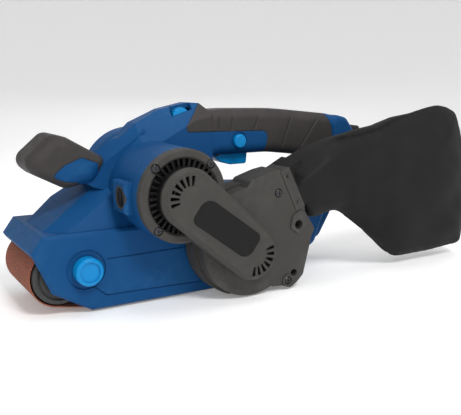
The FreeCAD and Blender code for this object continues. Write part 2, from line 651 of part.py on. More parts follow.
def brush_holders():
    """Two boxes that guide the carbon brushes."""
    holders = []
    for side in (-1, 1):
        near, far = MOTOR_X + side * 11.5, MOTOR_X + side * 33
        outer = block(min(near, far), max(near, far), BRUSH_Y - 4.5, BRUSH_Y + 4.5, BRUSH_Z - 5.5, BRUSH_Z + 5.5)
        inner = block(min(near, far) - 1, max(near, far) + 1, BRUSH_Y - 3, BRUSH_Y + 3, BRUSH_Z - 4, BRUSH_Z + 4)
        holders.append(outer.cut(inner))
    return group(holders)


def carbon_brushes():
    brushes = []
    for side in (-1, 1):
        near, far = MOTOR_X + side * 10.5, MOTOR_X + side * 26
        brushes.append(block(min(near, far), max(near, far), BRUSH_Y - 3, BRUSH_Y + 3, BRUSH_Z - 4, BRUSH_Z + 4))
    return group(brushes)


def brush_caps():
    """Screwed caps over the brushes, each with a slot across its face."""
    caps = []
    for outer, inner in ((FRONT_CAP_X + 1.6, FRONT_CAP_X + 6), (REAR_CAP_X - 1.6, REAR_CAP_X - 5)):
        cap = crosswise(min(outer, inner), max(outer, inner), CAP_R)
        slot = block(outer - 1.2, outer + 1.2, BRUSH_Y - 1, BRUSH_Y + 1, BRUSH_Z - 7, BRUSH_Z + 7)
        caps.append(cap.cut(slot))
    return group(caps)


def brush_sleeves():
    """Light rings that the brush caps screw into."""
    sleeves = []
    for low, high in ((FRONT_CAP_X + 0.4, FRONT_CAP_X + 6), (REAR_CAP_X - 5, REAR_CAP_X - 0.4)):
        sleeves.append(crosswise(low, high, CAP_R + 1.7).cut(crosswise(low - 1, high + 1, CAP_R)))
    return group(sleeves)


def ball_bearing(x, z, bore, y):
    """Sealed bearing drawn as one ring with its two shield grooves."""
    ring = tube(x, z, BEARING_R, bore, y, y + BEARING_W)
    grooves = [tube(x, z, BEARING_R - 2, bore + 1.6, y0, y0 + 0.5) for y0 in (y, y + BEARING_W - 0.5)]
    return without(ring, *grooves)


def motor_bearings():
    return group([ball_bearing(MOTOR_X, MOTOR_Z, SHAFT_R + 0.05, y) for y in (NEAR_BEARING_Y, FAR_BEARING_Y)])


def drive_bearings():
    return group([ball_bearing(DRIVE_X, DRIVE_Z, DRIVE_SHAFT_R + 0.05, y) for y in (-47.8, 35.0)])


def bearing_bracket():
    """End bracket that carries the motor's drive-side bearing."""
    seat_end = NEAR_BEARING_Y + BEARING_W
    disc = rod(MOTOR_X, MOTOR_Z, RING_BORE + 2, DRUM_NEAR_Y, DRUM_NEAR_Y + WALL)
    seat = rod(MOTOR_X, MOTOR_Z, BEARING_R + 3, DRUM_NEAR_Y, seat_end)
    windows = []
    for angle in range(0, 360, 45):
        windows.append(rod(*around(MOTOR_X, MOTOR_Z, angle, 22.5), 6, DRUM_NEAR_Y - 1, DRUM_NEAR_Y + 4))
    return without(joined(disc, seat), rod(MOTOR_X, MOTOR_Z, BEARING_R, NEAR_BEARING_Y, seat_end + 1),
                   rod(MOTOR_X, MOTOR_Z, 6, DRUM_NEAR_Y - 1, seat_end), *windows)


# ---------------------------------------------------------------- drive side covers
def screw(x, z, face_y, length, head_r=3.3):
    """Pan head screw whose head stands out of a face that looks to -Y."""
    head = bevelled(rod(x, z, head_r, face_y - 1.8, face_y), 0.7, "y", face_y - 1.8)
    slots = [block(x - 1.9, x + 1.9, face_y - 3, face_y - 0.8, z - 0.4, z + 0.4),
             block(x - 0.4, x + 0.4, face_y - 3, face_y - 0.8, z - 1.9, z + 1.9)]
    return joined(head, rod(x, z, head_r * 0.5, face_y, face_y + length)).cut(joined(*slots))


RING_SCREWS = [around(MOTOR_X, MOTOR_Z, angle, RING_SCREW_R) for angle in (46, 136.5, 228)]
COVER_ANGLE = math.degrees(math.atan2(DRIVE_Z - MOTOR_Z, DRIVE_X - MOTOR_X))
COVER_ENDS = [(MOTOR_X, MOTOR_Z, COVER_MOTOR_R), (DRIVE_X, DRIVE_Z, COVER_DRIVE_R)]


def ring_plate():
    """Bevelled ring round the motor's air intake."""
    ring = tube(MOTOR_X, MOTOR_Z, RING_R, RING_BORE, RING_FRONT_Y, DRUM_NEAR_Y)
    ring = bevelled(ring, 1.6, "y", RING_FRONT_Y)
    pockets = [rod(x, z, 3.9, RING_FRONT_Y - 1, RING_FRONT_Y + 1.8) for x, z in RING_SCREWS]
    holes = [rod(x, z, 1.65, RING_FRONT_Y - 1, DRUM_NEAR_Y + 1) for x, z in RING_SCREWS]
    return without(ring, *pockets, *holes)


def ring_screws():
    return group([screw(x, z, RING_FRONT_Y + 1.8, 12) for x, z in RING_SCREWS])


def vent_ring():
    """Ribbed intake insert with the hub that the drive cover sits on."""
    floor = rod(MOTOR_X, MOTOR_Z, RING_BORE, VENT_FLOOR_Y, DRUM_NEAR_Y)
    hub = loop_solid(COVER_ENDS, 0, HUB_FRONT_Y, DRUM_NEAR_Y).common(
        rod(MOTOR_X, MOTOR_Z, RING_BORE, HUB_FRONT_Y, DRUM_NEAR_Y))
    ribs = []
    for i in range(36):
        rib = block(COVER_MOTOR_R - 1, RING_BORE - 0.1, RING_FRONT_Y + 1, VENT_FLOOR_Y, -0.9, 0.9)
        rib.rotate(V(0, 0, 0), V(0, 1, 0), i * 10)
        rib.translate(V(MOTOR_X, 0, MOTOR_Z))
        ribs.append(rib)
    space = loop_solid(COVER_ENDS, -WALL, HUB_FRONT_Y - 1, VENT_FLOOR_Y)
    return without(joined(hub, floor, *ribs), space, rod(MOTOR_X, MOTOR_Z, 8, VENT_FLOOR_Y - 1, DRUM_NEAR_Y + 1))


def cover_vents():
    """Seven wedge slots round each end of the drive cover."""
    slots = []
    for x, z, middle, reach in ((MOTOR_X, MOTOR_Z, COVER_ANGLE + 180, 10.5), (DRIVE_X, DRIVE_Z, COVER_ANGLE, 11)):
        for i in range(-3, 4):
            angle = middle + i * 18.5
            corners = [around(x, z, angle - 4.5, reach), around(x, z, angle - 5, reach + 8),
                       around(x, z, angle + 5, reach + 8), around(x, z, angle + 4.5, reach)]
            slots.append(prism(corners, COVER_FACE_Y - 1, COVER_FACE_Y + WALL + 0.5))
    return slots


def panel_shape(margin, y0, y1):
    """Bar with rounded corners along the middle of the drive cover."""
    half_long, half_wide = 33.0 + margin, 12.0 + margin
    outline = [(-half_long, -half_wide), (half_long, -half_wide), (half_long, half_wide), (-half_long, half_wide)]
    body = rounded_prism(outline, [5, 10, 5, 10], y0, y1)
    body.rotate(V(0, 0, 0), V(0, 1, 0), 36)
    body.translate(V(36, 0, 67.5))
    return body


def drive_cover():
    """Long cover over the toothed belt, with a bevelled face."""
    outer = bevelled(loop_solid(COVER_ENDS, 0, COVER_FACE_Y, COVER_BACK_Y), 3.4, "y", COVER_FACE_Y)
    inner = loop_solid(COVER_ENDS, -WALL - 0.4, COVER_FACE_Y + WALL, COVER_BACK_Y + 1)
    ring_room = rod(MOTOR_X, MOTOR_Z, RING_R + 0.2, RING_FRONT_Y, COVER_BACK_Y + 1)
    hub_room = rod(MOTOR_X, MOTOR_Z, RING_BORE + 0.2, HUB_FRONT_Y, COVER_BACK_Y + 1)
    return without(outer, inner, ring_room, hub_room, panel_shape(0, COVER_FACE_Y - 1, COVER_FACE_Y + 1.2),
                   *cover_vents())


def cover_panel():
    """Plain dark inlay on the drive cover."""
    panel = panel_shape(-0.05, COVER_FACE_Y - 0.5, COVER_FACE_Y + 1.2)
    return bevelled(panel, 0.35, "y", COVER_FACE_Y - 0.5)


def drive_belt():
    """Toothed belt round the two pulleys."""
    wheels = [(MOTOR_X, MOTOR_Z, MOTOR_PULLEY_R + 0.2), (DRIVE_X, DRIVE_Z, DRIVEN_PULLEY_R + 0.2)]
    near, far = PULLEY_FRONT_Y + 0.8, PULLEY_BACK_Y - 0.6
    return loop_solid(wheels, 1.5, near, far).cut(loop_solid(wheels, 0, near - 1, far + 1))


def outlet_block(start, end, half, y0, y1):
    """Bar along the outlet's axis; start and end are measured from the mouth."""
    turn = math.radians(OUTLET_ANGLE)
    along = (math.cos(turn), math.sin(turn))
    across = (-math.sin(turn), math.cos(turn))
    corners = []
    for reach, side in ((start, -half), (end, -half), (end, half), (start, half)):
        corners.append((OUTLET_X + along[0] * reach + across[0] * side,
                        OUTLET_Z + along[1] * reach + across[1] * side))
    return prism(corners, y0, y1)


def volute_shape(radius, y0, y1):
    """Outside of the dust fan's housing: a round casing that runs out into the duct."""
    duct_outline = [(57, 85.5), (68.3, 103), (87, 108.8), (108, 112.4), (126.4, 76.7), (104, 50), (60, 45)]
    duct = rounded_prism(duct_outline, [2, 4, 30, 0, 0, 0, 0], y0, y1)
    duct = trimmed(duct, V(OUTLET_X, 0, OUTLET_Z) - outlet_axis() * ADAPTOR_LENGTH, outlet_axis())
    foot_outline = [(100, 76.5), (126.6, 76.5), (127, 71.5), (139, 54), (135.6, 47), (127.1, 12), (120.8, 6),
                    (113, 1.4), (103, 4.6), (92.5, 5.4), (70, 40)]
    foot = rounded_prism(foot_outline, [0, 0, 3, 4, 4, 5, 4, 4, 6, 0, 0], y0, y1)
    casing = rod(CASING_X, CASING_Z, radius, y0, y1).common(block(0, 150, y0, y1, 1.4, 150))
    shape = joined(casing, duct, foot)
    room = rod(MOTOR_X, MOTOR_Z, RING_R + 2.4, y0 - 1, y1 + 1)
    return without(shape, outlet_block(-ADAPTOR_LENGTH, 8, OUTLET_HALF + 0.4, y0 - 1, y1 + 1), room)


def outlet_axis():
    turn = math.radians(OUTLET_ANGLE)
    return V(math.cos(turn), 0, math.sin(turn))


def volute_space(y0, y1):
    """Air space of the dust fan, from its round casing to the outlet."""
    duct = prism([(60, 84), (70, 99.5), (88, 105), (99, 106.6), (119, 72.6), (104, 50)], y0, y1)
    space = joined(rod(CASING_X, CASING_Z, CASING_R - 4, y0, y1), duct)
    return space.cut(rod(MOTOR_X, MOTOR_Z, RING_R + 2.4 + WALL, y0 - 1, y1 + 1))


def volute_rear():
    """Rear shell of the dust fan's housing."""
    deep = volute_shape(CASING_R, VOLUTE_PLATE_Y, VOLUTE_STEP_Y)
    back = volute_shape(CASING_BACK_R, VOLUTE_STEP_Y, VOLUTE_BACK_Y)
    collar = rod(DRIVE_X, DRIVE_Z, 24, VOLUTE_BACK_Y, -SIDE_Y)
    holes = [rod(x, z, radius, -75, -60) for x, z, radius in BOSS_HOLES]
    holes += [rod(x, z, 1.65, -80, -60) for x, z in VOLUTE_SCREWS]
    return without(joined(deep, back, collar), volute_space(VOLUTE_PLATE_Y - 1, VOLUTE_BACK_Y - WALL),
                   rod(DRIVE_X, DRIVE_Z, 17, -52, -45), *holes)


def volute_front():
    """Front plate of the dust fan's housing, with a pad round its large hole."""
    plate = volute_shape(CASING_R, VOLUTE_FRONT_Y, VOLUTE_PLATE_Y)
    pad = rounded_prism([(111, 57), (113, 68), (121, 73), (127.5, 70.5), (129.5, 60), (121, 50.5)], 2, -77.2, -75)
    pad = pad.cut(outlet_block(-ADAPTOR_LENGTH, 8, OUTLET_HALF + 0.4, -80, -70))
    lobes = [rod(x, z, 6, -77.2, -75) for x, z in VOLUTE_SCREWS[1:]]
    body = joined(plate, pad, *lobes)
    holes = [rod(x, z, radius, -80, -70) for x, z, radius in BOSS_HOLES]
    pockets = [rod(x, z, 3.9, -80, -75.2) for x, z in VOLUTE_SCREWS]
    holes += [rod(x, z, 1.65, -80, -60) for x, z in VOLUTE_SCREWS]
    return without(body, rod(DRIVE_X, DRIVE_Z, 9, -80, -70), *holes, *pockets)


def volute_screws():
    return group([screw(x, z, -75.2, 10) for x, z in VOLUTE_SCREWS])


def outlet_adaptor():
    """Flange at the end of the duct that the dust bag's collar clips to."""
    body = outlet_block(-ADAPTOR_LENGTH, 0, OUTLET_HALF, VOLUTE_FRONT_Y - 0.6, VOLUTE_BACK_Y)
    space = outlet_block(-ADAPTOR_LENGTH - 1, 1, DUCT_HALF, VOLUTE_PLATE_Y, VOLUTE_BACK_Y - WALL)
    pins = [rod(x, z, 1.3, -80, -74.5) for x, z in adaptor_pin_places()]
    return without(body, space, *pins)


def adaptor_pin_places():
    turn = math.radians(OUTLET_ANGLE)
    places = []
    for side in (-13.5, 13.5):
        places.append((OUTLET_X - 5 * math.cos(turn) - side * math.sin(turn),
                       OUTLET_Z - 5 * math.sin(turn) + side * math.cos(turn)))
    return places


def adaptor_pins():
    return group([rod(x, z, 1.3, -77.4, -74.5) for x, z in adaptor_pin_places()])


# ---------------------------------------------------------------- dust bag
def bag_collar():
    """Stiff frame in the bag's neck."""
    body = outlet_block(0.4, 13, OUTLET_HALF, VOLUTE_FRONT_Y - 0.6, VOLUTE_BACK_Y)
    return body.cut(outlet_block(-1, 14, DUCT_HALF, VOLUTE_PLATE_Y, VOLUTE_BACK_Y - WALL))


def dust_bag():
    """Flat fabric bag hanging behind the outlet."""
    outline = [(100, 108), (132, 124), (171, 137), (257, 153), (312, 165), (334, 157), (352, 110), (358, 44),
               (354, 11), (306, 8), (255, 8.5), (210, 43), (178, 65), (156, 66), (130, 72)]
    body = bevelled(prism(outline, BAG_NEAR_Y, BAG_FAR_Y), 12, "y", BAG_NEAR_Y, BAG_FAR_Y)
    return trimmed(body, V(OUTLET_X, 0, OUTLET_Z) + outlet_axis() * 13, outlet_axis() * -1)


# ---------------------------------------------------------------- handle controls and cable entry
def trigger():
    outline = [(TRIGGER_FRONT + 0.5, 121), (TRIGGER_FRONT + 0.5, 116), (79, 111), (90, 108),
               (TRIGGER_REAR - 1.5, 108.2), (TRIGGER_REAR - 0.5, 122.5)]
    body = rounded_prism(outline, [2, 3, 6, 6, 2.5, 3], -7, 7)
    body = softened(body, 1.2, "y", -7, 7)
    return body.cut(rod(TRIGGER_PIVOT_X, TRIGGER_PIVOT_Z, 1.5 + PIN_SLACK, -8, 8))


def trigger_pin():
    return rod(TRIGGER_PIVOT_X, TRIGGER_PIVOT_Z, 1.5, -9.2, 9.2)


def switch_module():
    return joined(block(80, 112, -9, 7, 131, 146), block(86, 90, -3, 3, 128.6, 131))


def lock_button():
    button = rod(LOCK_X, LOCK_Z, LOCK_R, -21, -13)
    return softened(button, 1.6, "y", -21)


def speed_dial():
    """Thumbwheel with a ribbed rim."""
    wheel = bevelled(rod(DIAL_X, DIAL_Z, DIAL_R, DIAL_NEAR_Y, DIAL_FAR_Y), 0.6, "y", DIAL_NEAR_Y, DIAL_FAR_Y)
    notches = [rod(*around(DIAL_X, DIAL_Z, i * 15, DIAL_R + 0.3), 0.7, -20, 0) for i in range(24)]
    return without(wheel, *notches, rod(DIAL_X, DIAL_Z, 1.5 + PIN_SLACK, -20, 0))


def dial_pin():
    return rod(DIAL_X, DIAL_Z, 1.5, DIAL_NEAR_Y - 1.6, DIAL_FAR_Y + 1.6)


def speed_board():
    """Circuit board of the speed control, under the thumbwheel."""
    board = block(18, 56, -12, 12, 139, 140.6)
    chips = [block(24, 34, -6, 4, 140.6, 144), block(40, 50, -5, 5, 140.6, 143.5)]
    return joined(board, *chips)


def cable_gland():
    """Rubber sleeve at the handle's rear, bored for the mains lead."""
    body = Part.makeCylinder(GLAND_R, 6, V(GLAND_X - 6, 0, GLAND_Z), V(1, 0, 0))
    taper = Part.makeCone(GLAND_R, 5.2, 16, V(GLAND_X, 0, GLAND_Z), V(1, 0, 0))
    rings = [Part.makeCylinder(8, 1.2, V(x, 0, GLAND_Z), V(1, 0, 0)).cut(
        Part.makeCylinder(5.6, 1.2, V(x, 0, GLAND_Z), V(1, 0, 0))) for x in (GLAND_X + 6, GLAND_X + 11)]
    notched = without(joined(body, taper), *rings)
    return notched.cut(Part.makeCylinder(3.8, 40, V(GLAND_X - 10, 0, GLAND_Z), V(1, 0, 0)))


NODES = {
    "front_grip": front_grip, "handle_grip": handle_grip, "base_frame": base_frame, "sole_plate": sole_plate,
    "platen_pad": platen_pad, "sanding_belt": sanding_belt, "front_roller": front_roller,
    "roller_bushes": roller_bushes, "steer_fork": steer_fork, "roller_yoke": roller_yoke,
    "tension_spring": tension_spring, "tension_lever": tension_lever, "lever_pin": lever_pin,
    "tracking_knob": tracking_knob, "tracking_screw": tracking_screw, "drive_shaft": drive_shaft,
    "roller_core": roller_core, "roller_tyre": roller_tyre, "driven_pulley": driven_pulley, "dust_fan": dust_fan,
    "motor_shaft": motor_shaft, "armature_core": armature_core, "armature_windings": armature_windings,
    "commutator": commutator, "motor_fan": motor_fan, "motor_pulley": motor_pulley, "motor_stator": motor_stator,
    "field_coils": field_coils, "brush_holders": brush_holders, "carbon_brushes": carbon_brushes,
    "motor_bearings": motor_bearings, "drive_bearings": drive_bearings, "bearing_bracket": bearing_bracket,
    "ring_plate": ring_plate, "ring_screws": ring_screws, "vent_ring": vent_ring, "drive_cover": drive_cover,
    "cover_panel": cover_panel, "drive_belt": drive_belt, "volute_rear": volute_rear,
    "volute_front": volute_front, "volute_screws": volute_screws, "outlet_adaptor": outlet_adaptor,
    "adaptor_pins": adaptor_pins, "bag_collar": bag_collar, "dust_bag": dust_bag, "trigger": trigger,
    "trigger_pin": trigger_pin, "switch_module": switch_module, "lock_button": lock_button,
    "speed_dial": speed_dial, "dial_pin": dial_pin, "speed_board": speed_board, "cable_gland": cable_gland,
    "brush_caps": brush_caps, "brush_sleeves": brush_sleeves,
}


def main():
    os.makedirs("parts", exist_ok=True)
    shell = housing()
    halves = {
        "housing_left": shell.common(block(-BIG, BIG, -BIG, 0, -BIG, BIG)),
        "housing_right": without(shell.common(block(-BIG, BIG, 0, BIG, -BIG, BIG)), *vent_slots()),
    }
    for name, half in halves.items():
        largest = max(half.Solids, key=lambda solid: solid.Volume)
        largest.exportStep("parts/" + name + ".step")
    for name, make in NODES.items():
        make().exportStep("parts/" + name + ".step")
    length = loop_wire(SANDING_LOOP, BELT_THICK / 2, 0)[1]
    print("sanding belt length at mid thickness:", round(length, 1))


main()
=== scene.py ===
"""Looks of the handheld belt sander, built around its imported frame, in metres."""
import json
import math

import bmesh
import bpy
from mathutils import Matrix, Vector, noise


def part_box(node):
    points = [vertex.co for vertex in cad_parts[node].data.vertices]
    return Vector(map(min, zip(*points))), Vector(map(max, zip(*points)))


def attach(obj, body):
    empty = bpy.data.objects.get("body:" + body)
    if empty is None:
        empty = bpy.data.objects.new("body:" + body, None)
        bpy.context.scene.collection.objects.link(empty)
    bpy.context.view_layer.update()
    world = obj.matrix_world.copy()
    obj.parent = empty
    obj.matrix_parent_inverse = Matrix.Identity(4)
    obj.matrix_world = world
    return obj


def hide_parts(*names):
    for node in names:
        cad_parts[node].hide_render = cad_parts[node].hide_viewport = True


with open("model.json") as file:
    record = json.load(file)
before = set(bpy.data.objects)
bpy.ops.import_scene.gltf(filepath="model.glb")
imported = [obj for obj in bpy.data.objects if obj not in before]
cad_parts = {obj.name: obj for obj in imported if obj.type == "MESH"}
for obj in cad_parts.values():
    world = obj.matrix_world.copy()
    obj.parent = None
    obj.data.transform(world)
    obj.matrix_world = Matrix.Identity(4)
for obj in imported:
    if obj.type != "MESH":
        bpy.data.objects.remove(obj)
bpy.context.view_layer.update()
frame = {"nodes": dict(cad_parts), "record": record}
NODES = frame["nodes"]
MM = 0.001

# ------------------------------------------------------ colours, as the eye sees them (sRGB)
BLUE = (0.045, 0.262, 0.455)
LIGHT_BLUE = (0.0, 0.49, 0.74)
DARK_GREY = (0.225, 0.218, 0.208)
PANEL_BLACK = (0.025, 0.025, 0.025)
VENT_BLACK = (0.06, 0.06, 0.06)
GRIP_GREY = (0.222, 0.208, 0.205)
BAG_BLACK = (0.1, 0.1, 0.099)
THREAD_GREY = (0.2, 0.2, 0.2)
GRIT_BROWN = (0.52, 0.28, 0.20)
CLOTH_BROWN = (0.36, 0.24, 0.17)
ROLLER_GREY = (0.22, 0.22, 0.22)
TYRE_GREY = (0.2, 0.2, 0.2)
RUBBER_BLACK = (0.12, 0.12, 0.12)
GRAPHITE = (0.15, 0.15, 0.155)
BOARD_GREEN = (0.1, 0.36, 0.2)
ALUMINIUM = (0.72, 0.72, 0.73)
STEEL = (0.66, 0.66, 0.67)
POLISHED_STEEL = (0.75, 0.75, 0.76)
DARK_STEEL = (0.3, 0.3, 0.31)
BRASS = (0.78, 0.63, 0.35)
COPPER, COPPER_GAP = (0.78, 0.42, 0.24), (0.45, 0.2, 0.1)
SHEET_STEEL, SHEET_GAP = (0.42, 0.42, 0.44), (0.2, 0.2, 0.21)

# ------------------------------------------------------ camera, lights and floor
CAMERA_PLACE = Vector((-0.2393, -0.5425, 0.1879))
CAMERA_TURN = math.radians(31.62)       # heading, from +Y towards +X
CAMERA_RISE = math.radians(10.95)       # how steeply it looks down
CAMERA_ROLL = math.radians(0.47)
CAMERA_SENSOR = 36.0                    # millimetres
CAMERA_LENS = 51.74317                  # millimetres
CAMERA_NEAR = 0.01

LIGHT_TARGET = Vector((0.1, 0.0, 0.06))
LIGHTS = {                              # place, width and power
    "key": ((0.0, -1.4, 1.6), 0.6, 24),
    "fill": ((-1.4, -0.9, 0.8), 1.3, 3),
    "top": ((0.3, -0.1, 1.8), 1.3, 10),
    "rear": ((0.8, 1.6, 1.0), 1.2, 3),
}
WORLD_STRENGTH = 0.34

FLOOR_CENTRE = 0.3                      # radius of the one round face in the middle
FLOOR_FLAT = 1.4                        # radius where the floor starts to curve up
FLOOR_RIM = 4.4
FLOOR_HEIGHT = 3.0
FLOOR_STEPS = 48
FLOOR_SIDES = 96
FLOOR_DROP = 0.3 * MM                   # keeps it clear of the sanding face
FLOOR_COLOUR = (0.95, 0.95, 0.95, 1)
FLOOR_ROUGHNESS = 0.7
FLOOR_GLOW = 0.16


def new_object(name, data):
    """An object of that data, linked to the scene."""
    thing = bpy.data.objects.new(name, data)
    bpy.context.scene.collection.objects.link(thing)
    return thing


def make_camera():
    data = bpy.data.cameras.new("camera")
    data.sensor_width = CAMERA_SENSOR
    data.lens = CAMERA_LENS
    data.clip_start = CAMERA_NEAR
    camera = new_object("camera", data)
    level = math.cos(CAMERA_RISE)
    right = Vector((math.cos(CAMERA_TURN), -math.sin(CAMERA_TURN), 0))
    back = Vector((-math.sin(CAMERA_TURN) * level, -math.cos(CAMERA_TURN) * level,
                   math.sin(CAMERA_RISE)))
    up = back.cross(right)
    across = right * math.cos(CAMERA_ROLL) + up * math.sin(CAMERA_ROLL)
    over = up * math.cos(CAMERA_ROLL) - right * math.sin(CAMERA_ROLL)
    turn = Matrix((across, over, back)).transposed().to_4x4()
    camera.matrix_world = Matrix.Translation(CAMERA_PLACE) @ turn
    bpy.context.scene.camera = camera


def make_lights():
    for name, (place, width, power) in LIGHTS.items():
        data = bpy.data.lights.new(name, "AREA")
        data.shape = "DISK"
        data.size = width
        data.energy = power
        turn = (LIGHT_TARGET - Vector(place)).to_track_quat("-Z", "Y")
        light = new_object(name, data)
        light.matrix_world = Matrix.Translation(place) @ turn.to_matrix().to_4x4()
    world = bpy.data.worlds.new("studio")
    world.use_nodes = True
    background = world.node_tree.nodes["Background"]
    background.inputs["Color"].default_value = (1, 1, 1, 1)
    background.inputs["Strength"].default_value = WORLD_STRENGTH
    bpy.context.scene.world = world


def make_floor():
    """Pale floor that curves up all round, so that no horizon shows."""
    profile = [(FLOOR_CENTRE, 0.0), (FLOOR_FLAT, 0.0)]
    for i in range(1, FLOOR_STEPS + 1):
        turn = math.pi / 2 * i / FLOOR_STEPS
        profile.append((FLOOR_FLAT + (FLOOR_RIM - FLOOR_FLAT) * math.sin(turn),
                        FLOOR_HEIGHT * (1 - math.cos(turn))))
    angles = [2 * math.pi * j / FLOOR_SIDES for j in range(FLOOR_SIDES)]
    build = bmesh.new()
    rings = []
    for reach, level in profile:
        rings.append([build.verts.new((reach * math.cos(angle), reach * math.sin(angle),
                                       level - FLOOR_DROP)) for angle in angles])
    build.faces.new(rings[0])
    for low, high in zip(rings, rings[1:]):
        for j in range(FLOOR_SIDES):
            after = (j + 1) % FLOOR_SIDES
            build.faces.new((low[j], low[after], high[after], high[j]))
    mesh = bpy.data.meshes.new("floor")
    build.to_mesh(mesh)
    build.free()
    for face in mesh.polygons:
        face.use_smooth = len(face.vertices) == 4
    floor = new_object("floor", mesh)
    material = bpy.data.materials.new("floor")
    material.use_nodes = True
    shader = material.node_tree.nodes["Principled BSDF"]
    shader.inputs["Base Color"].default_value = FLOOR_COLOUR
    shader.inputs["Roughness"].default_value = FLOOR_ROUGHNESS
    shader.inputs["Emission Color"].default_value = (1, 1, 1, 1)
    shader.inputs["Emission Strength"].default_value = FLOOR_GLOW
    mesh.materials.append(material)


# ------------------------------------------------------ material building
EDGE_RADIUS = 0.8 * MM                  # rounding that sharp edges are shaded with
BEVEL_SAMPLES = 4
WAVE_PERIOD = 0.314                     # period of the wave texture at scale 1
MIDDLE = (0.35, 0.65)                   # range in which most of a noise's values lie
# painted highlight along edges that stick out, broken into patches by noise
EDGE_HIGHLIGHT_POINTINESS = (0.53, 0.62)          # painted edge highlight: from the first faintly highlighted edge to the fully highlighted one
HIGHLIGHT_PATCH_SIZE = 6 * MM
HIGHLIGHT_PATCH_RANGE, HIGHLIGHT_PATCH_SHARES = (0.4, 0.6), (0.2, 1.0)      # noise values, and the share of painted edge highlight they leave
MIX_SHARE, MIX_FIRST, MIX_SECOND, MIX_RESULT = 0, 6, 7, 2    # sockets of a colour mix


def linear(colour):
    """The same colour in the linear numbers that shaders use."""
    parts = []
    for part in colour:
        parts.append(part / 12.92 if part <= 0.04045 else ((part + 0.055) / 1.055) ** 2.4)
    return (*parts, 1.0)


def lighter(colour, share):
    return tuple(part + (1 - part) * share for part in colour)


def darker(colour, share):
    return tuple(part * (1 - share) for part in colour)


class Surface:
    """One material and the nodes that shape it."""

    def __init__(self, name, colour, roughness, metallic=0.0, specular=0.5):
        self.material = bpy.data.materials.new(name)
        self.material.use_nodes = True
        self.tree = self.material.node_tree
        self.shader = self.tree.nodes["Principled BSDF"]
        self.place = self.add("ShaderNodeTexCoord").outputs["Object"]
        self.normal = None
        self.set("Base Color", linear(colour))
        self.set("Roughness", roughness)
        self.set("Metallic", metallic)
        self.set("Specular IOR Level", specular)

    def add(self, kind, **values):
        """A new node. Each value goes to its attribute, or else to its input, of that name."""
        node = self.tree.nodes.new(kind)
        for key, value in values.items():
            if hasattr(node, key):
                setattr(node, key, value)
            else:
                node.inputs[key].default_value = value
        return node

    def link(self, source, target):
        self.tree.links.new(source, target)

    def set(self, socket, value):
        self.shader.inputs[socket].default_value = value

    def noise(self, size, detail):
        """Noise whose features are about that many metres across."""
        node = self.add("ShaderNodeTexNoise", Scale=1 / size, Detail=detail)
        self.link(self.place, node.inputs["Vector"])
        return node.outputs["Fac"]

    def cells(self, size):
        """Pebbles about that many metres across."""
        node = self.add("ShaderNodeTexVoronoi", Scale=1 / size)
        self.link(self.place, node.inputs["Vector"])
        return node.outputs["Distance"]

    def waves(self, size, direction):
        """Ridges that many metres apart."""
        node = self.add("ShaderNodeTexWave", bands_direction=direction, Scale=WAVE_PERIOD / size)
        self.link(self.place, node.inputs["Vector"])
        return node.outputs["Fac"]

    def product(self, first, second):
        node = self.add("ShaderNodeMath", operation="MULTIPLY")
        self.link(first, node.inputs[0])
        self.link(second, node.inputs[1])
        return node.outputs[0]

    def ramp(self, source, low, high, start, end):
        """Numbers from start to end turned into numbers from low to high."""
        node = self.add("ShaderNodeMapRange")
        node.inputs["From Min"].default_value = start
        node.inputs["From Max"].default_value = end
        node.inputs["To Min"].default_value = low
        node.inputs["To Max"].default_value = high
        self.link(source, node.inputs["Value"])
        return node.outputs["Result"]

    def tint(self, source, colour, start=MIDDLE[0], end=MIDDLE[1]):
        """Mix towards another colour where source is high."""
        mix = self.add("ShaderNodeMix", data_type="RGBA")
        self.link(self.ramp(source, 0, 1, start, end), mix.inputs[MIX_SHARE])
        socket = self.shader.inputs["Base Color"]
        if socket.links:
            self.link(socket.links[0].from_socket, mix.inputs[MIX_FIRST])
        else:
            mix.inputs[MIX_FIRST].default_value = socket.default_value[:]
        mix.inputs[MIX_SECOND].default_value = linear(colour)
        self.link(mix.outputs[MIX_RESULT], socket)

    def vary_roughness(self, source, low, high):
        self.link(self.ramp(source, low, high, *MIDDLE), self.shader.inputs["Roughness"])

    def bump(self, source, depth):
        """Raise the surface by source times depth, in metres."""
        node = self.add("ShaderNodeBump")
        node.inputs["Strength"].default_value = 1.0
        node.inputs["Distance"].default_value = depth
        self.link(source, node.inputs["Height"])
        if self.normal is not None:
            self.link(self.normal, node.inputs["Normal"])
        self.use_normal(node.outputs["Normal"])

    def round_edges(self):
        """Shade sharp edges as if they were rounded."""
        node = self.add("ShaderNodeBevel", samples=BEVEL_SAMPLES)
        node.inputs["Radius"].default_value = EDGE_RADIUS
        self.use_normal(node.outputs["Normal"])

    def use_normal(self, normal):
        self.normal = normal
        self.link(normal, self.shader.inputs["Normal"])

    def painted_edge_highlight(self, colour):
        """Painted highlight: lighter colour along edges that stick out, broken into patches."""
        geometry = self.add("ShaderNodeNewGeometry")
        edges = self.ramp(geometry.outputs["Pointiness"], 0, 1, *EDGE_HIGHLIGHT_POINTINESS)
        highlight_patches = self.ramp(self.noise(HIGHLIGHT_PATCH_SIZE, 5), *HIGHLIGHT_PATCH_SHARES, *HIGHLIGHT_PATCH_RANGE)
        self.tint(self.product(edges, highlight_patches), colour, 0, 1)


def moulded(name, colour, roughness=0.56, specular=0.22):
    """Moulded plastic with a spark-eroded grain."""
    surface = Surface(name, colour, roughness, specular=specular)
    surface.round_edges()
    surface.tint(surface.noise(50 * MM, 2), lighter(colour, 0.012))
    surface.vary_roughness(surface.noise(4 * MM, 3), roughness - 0.04, roughness + 0.05)
    surface.bump(surface.noise(0.35 * MM, 2), 0.03 * MM)
    # painted highlight along edges that stick out
    surface.painted_edge_highlight(lighter(colour, 0.05))
    return surface.material


